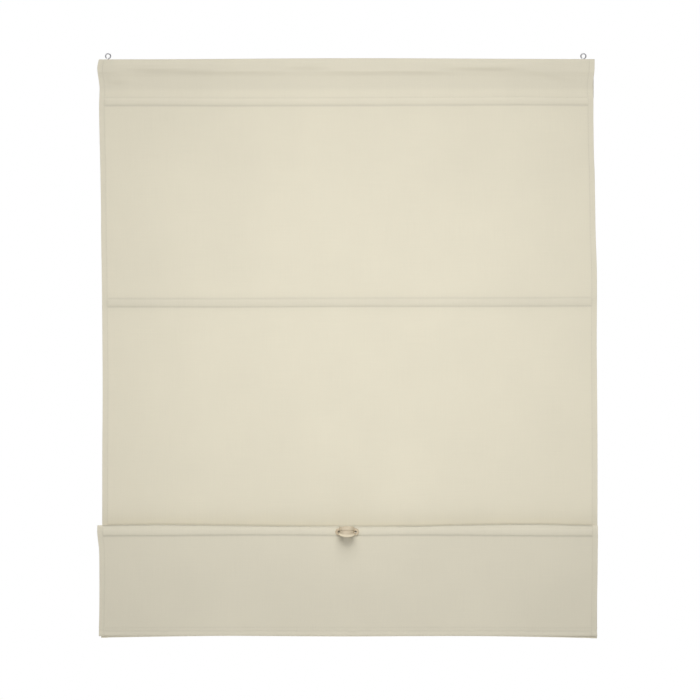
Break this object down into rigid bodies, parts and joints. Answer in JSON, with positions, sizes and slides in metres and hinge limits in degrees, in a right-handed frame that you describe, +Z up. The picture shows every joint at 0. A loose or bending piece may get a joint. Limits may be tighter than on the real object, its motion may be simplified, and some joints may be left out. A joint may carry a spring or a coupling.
{
  "type": "roman blind",
  "caption": "Cordless roman blind of plain cotton with rods in sewn pockets, lowest fold hooked up, leather pull and hanging eyes.",
  "frame": {"origin": "midway between the centres of the two hanging eyes", "axes": "+X to the right seen from the room, -Y faces the room, +Z up"},
  "size_m": [1, 0.0604, 1.1797],
  "materials": {
    "cotton": "matt plain weave",
    "lath_wood": "planed pine",
    "zinc_wire": "zinc plated",
    "rod_metal": "mill finish tube",
    "plug_plastic": "white moulded",
    "bar_steel": "plain flat bar",
    "leather": "natural vegetable-tanned",
    "dark_brass": "darkened"
  },
  "bodies": {
    "root": {"cloth": "cotton", "head_lath": "lath_wood", "eye_screw_left": "zinc_wire", "eye_screw_right": "zinc_wire", "rod_1": "rod_metal", "rod_1_plug_left": "plug_plastic", "rod_1_plug_right": "plug_plastic", "rod_2": "rod_metal", "rod_2_plug_left": "plug_plastic", "rod_2_plug_right": "plug_plastic", "rod_3": "rod_metal", "rod_3_plug_left": "plug_plastic", "rod_3_plug_right": "plug_plastic", "rod_4": "rod_metal", "rod_4_plug_left": "plug_plastic", "rod_4_plug_right": "plug_plastic", "rod_2_tape": "cotton", "rod_3_tape": "cotton", "rod_4_tape": "cotton", "hem_bar": "bar_steel", "rod_hook_left": "zinc_wire", "rod_hook_right": "zinc_wire", "handle_strap": "leather", "handle_eyelet_left": "dark_brass", "handle_washer_left": "dark_brass", "handle_eyelet_right": "dark_brass", "handle_washer_right": "dark_brass"}
  },
  "joints": []
}
